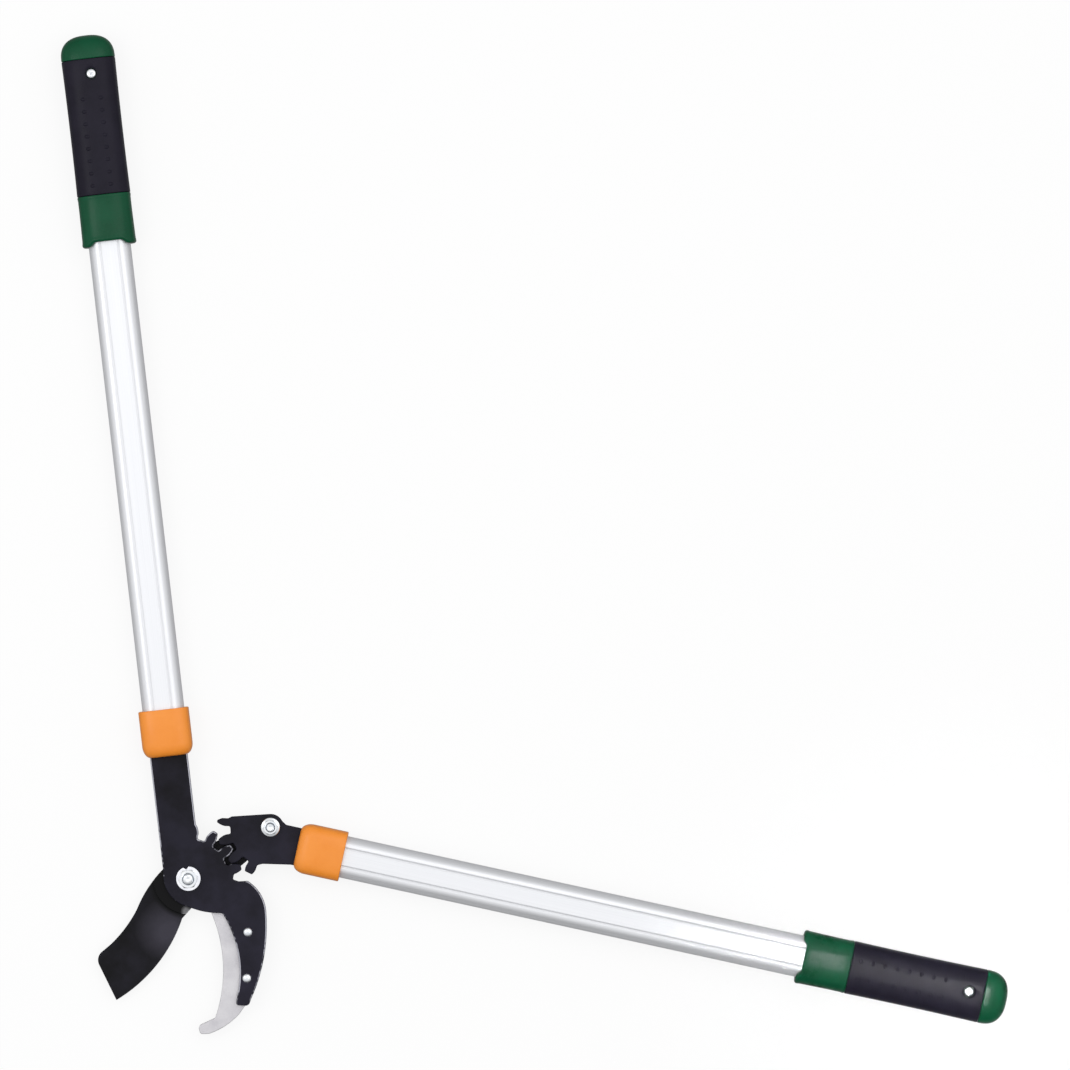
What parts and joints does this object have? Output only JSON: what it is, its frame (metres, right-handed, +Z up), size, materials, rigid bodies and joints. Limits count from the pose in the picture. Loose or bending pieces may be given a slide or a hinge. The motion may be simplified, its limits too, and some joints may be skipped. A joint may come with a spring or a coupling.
{
  "type": "bypass lopper",
  "caption": "Geared bypass lopper: long tube handles with sleeved grips close a bevelled cutting blade past a hooked counter blade.",
  "frame": {"origin": "centre of the main pivot bolt's flat back face, on the ground that the tool lies on", "axes": "+Z up along the main pivot, +Y along the fixed handle towards its grip, +X towards the moving handle's side"},
  "size_m": [0.677, 0.8139, 0.03],
  "materials": {
    "black_coated_steel": "satin non-stick coating",
    "bright_steel": "ground steel",
    "zinc_plated_steel": "bright zinc plating",
    "bearing_bronze": "plain bearing bronze",
    "orange_plastic": "satin moulded",
    "anodised_aluminium": "smooth bright anodised",
    "green_plastic": "satin moulded",
    "black_rubber": "matt, with rows of small nubs",
    "pale_nylon": "as moulded"
  },
  "bodies": {
    "fixed_side": {"hooked_plate": "black_coated_steel", "counter_blade": "bright_steel", "upper_rivet": "zinc_plated_steel", "lower_rivet": "zinc_plated_steel", "pivot_bolt": "zinc_plated_steel", "pivot_back_washer": "zinc_plated_steel", "pivot_bush": "bearing_bronze", "pivot_tab_washer": "zinc_plated_steel", "pivot_nut": "zinc_plated_steel", "fixed_collar": "orange_plastic", "fixed_tube": "anodised_aluminium", "fixed_tang_core": "pale_nylon", "fixed_tang_pin_1": "zinc_plated_steel", "fixed_tang_pin_2": "zinc_plated_steel", "fixed_end_plug": "pale_nylon", "fixed_grip_core": "green_plastic", "fixed_grip_sleeve": "black_rubber", "fixed_grip_screw": "zinc_plated_steel"},
    "blade": {"cutting_blade": "black_coated_steel", "link_bolt": "zinc_plated_steel", "link_back_washer": "zinc_plated_steel", "link_spacer": "zinc_plated_steel", "link_flange_nut": "zinc_plated_steel"},
    "moving_side": {"toothed_plate": "black_coated_steel", "link_bush": "bearing_bronze", "moving_collar": "orange_plastic", "moving_tube": "anodised_aluminium", "moving_tang_core": "pale_nylon", "moving_tang_pin_1": "zinc_plated_steel", "moving_tang_pin_2": "zinc_plated_steel", "moving_end_plug": "pale_nylon", "moving_grip_core": "green_plastic", "moving_grip_sleeve": "black_rubber", "moving_grip_screw": "zinc_plated_steel"}
  },
  "joints": [
    {"name": "blade_pivot", "type": "hinge", "parent": "fixed_side", "child": "blade", "pos_m": [0, 0, 0.015], "axis": [0, 0, 1], "range_deg": [-11, 48]},
    {"name": "link_pivot", "type": "hinge", "parent": "blade", "child": "moving_side", "pos_m": [0.06553, 0.03125, 0.015], "axis": [0, 0, 1], "range_deg": [-11, 48]}
  ],
  "couplings": [
    {"joint": "link_pivot", "follows": "blade_pivot", "ratio": 1}
  ]
}
